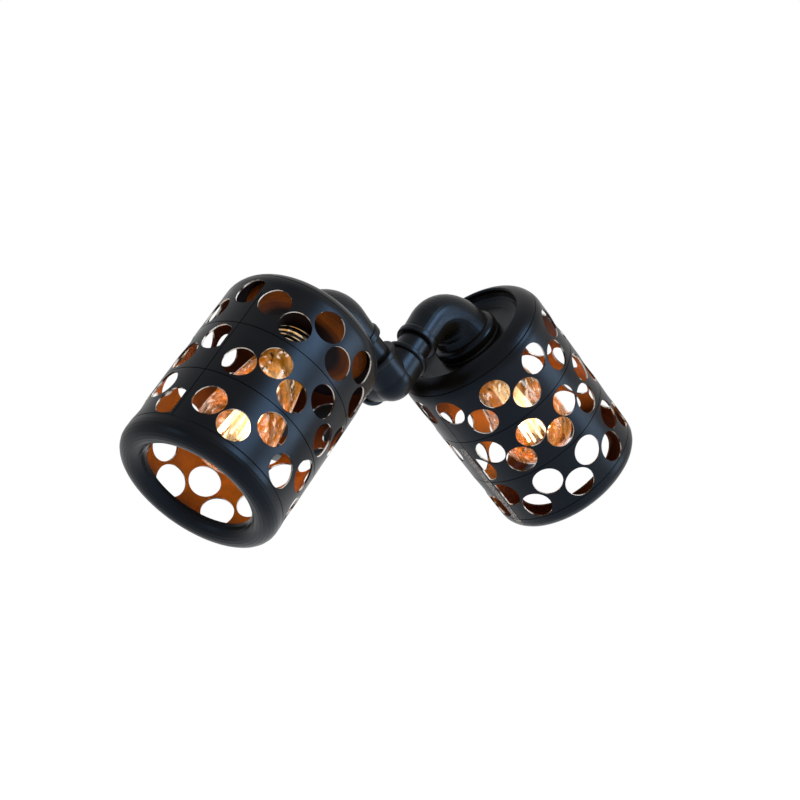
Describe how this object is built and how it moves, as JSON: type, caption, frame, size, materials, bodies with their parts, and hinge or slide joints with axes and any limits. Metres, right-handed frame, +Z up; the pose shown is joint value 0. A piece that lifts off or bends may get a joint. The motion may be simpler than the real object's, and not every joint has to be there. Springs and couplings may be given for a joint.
{
  "type": "outdoor wall sconce",
  "caption": "Outdoor wall sconce with a pair of black perforated cylinder shades on swivelling cast pipe elbows, held off the wall by one pipe and a round canopy.",
  "frame": {"origin": "centre of the wall screw pattern in the wall's plane, behind the canopy", "axes": "+Y into the wall, -Y out toward the viewer, +X along the sconce's width, +Z up"},
  "size_m": [0.4834, 0.195, 0.1988],
  "materials": {
    "cast_black": "satin black paint on fine cast grain",
    "sheet_black": "satin black paint",
    "black_rubber": "matte",
    "zinc_steel": "zinc plated",
    "ground_green": "gloss green",
    "black_moulding": "moulded phenolic",
    "contact_brass": "plain",
    "base_metal": "drawn",
    "bulb_glass": "clear warm",
    "filament": "glowing"
  },
  "bodies": {
    "wall_mount": {"wall_gasket": "black_rubber", "mounting_bracket": "zinc_steel", "ground_screw": "ground_green", "canopy_studs": "zinc_steel", "canopy_cap_nuts": "sheet_black", "wall_canopy": "sheet_black", "pipe_grommet": "black_rubber", "wall_pipe": "cast_black", "pipe_locknuts": "zinc_steel", "centre_fitting": "cast_black", "left_arm_nipple": "cast_black", "right_arm_nipple": "cast_black"},
    "left_arm": {"left_elbow": "cast_black", "left_set_screw": "zinc_steel", "left_stem_tube": "zinc_steel", "left_hub_gasket": "black_rubber", "left_shade_cap": "sheet_black", "left_shade_body": "sheet_black", "left_shade_ring": "sheet_black", "left_washer": "zinc_steel", "left_stem_nut": "zinc_steel", "left_holder_cap": "black_moulding", "left_lamp_holder": "black_moulding", "left_screw_shell": "contact_brass", "left_centre_contact": "contact_brass", "left_bulb_base": "base_metal", "left_bulb_glass": "bulb_glass", "left_bulb_filament": "filament"},
    "right_arm": {"right_elbow": "cast_black", "right_set_screw": "zinc_steel", "right_stem_tube": "zinc_steel", "right_hub_gasket": "black_rubber", "right_shade_cap": "sheet_black", "right_shade_body": "sheet_black", "right_shade_ring": "sheet_black", "right_washer": "zinc_steel", "right_stem_nut": "zinc_steel", "right_holder_cap": "black_moulding", "right_lamp_holder": "black_moulding", "right_screw_shell": "contact_brass", "right_centre_contact": "contact_brass", "right_bulb_base": "base_metal", "right_bulb_glass": "bulb_glass", "right_bulb_filament": "filament"}
  },
  "joints": [
    {"name": "left_arm_swivel", "type": "hinge", "parent": "wall_mount", "child": "left_arm", "pos_m": [0, -0.13, 0], "axis": [-0.7071, 0, 0.7071], "range_deg": [-5, 60]},
    {"name": "right_arm_swivel", "type": "hinge", "parent": "wall_mount", "child": "right_arm", "pos_m": [0, -0.13, 0], "axis": [-0.7071, 0, -0.7071], "range_deg": [-5, 60]}
  ]
}
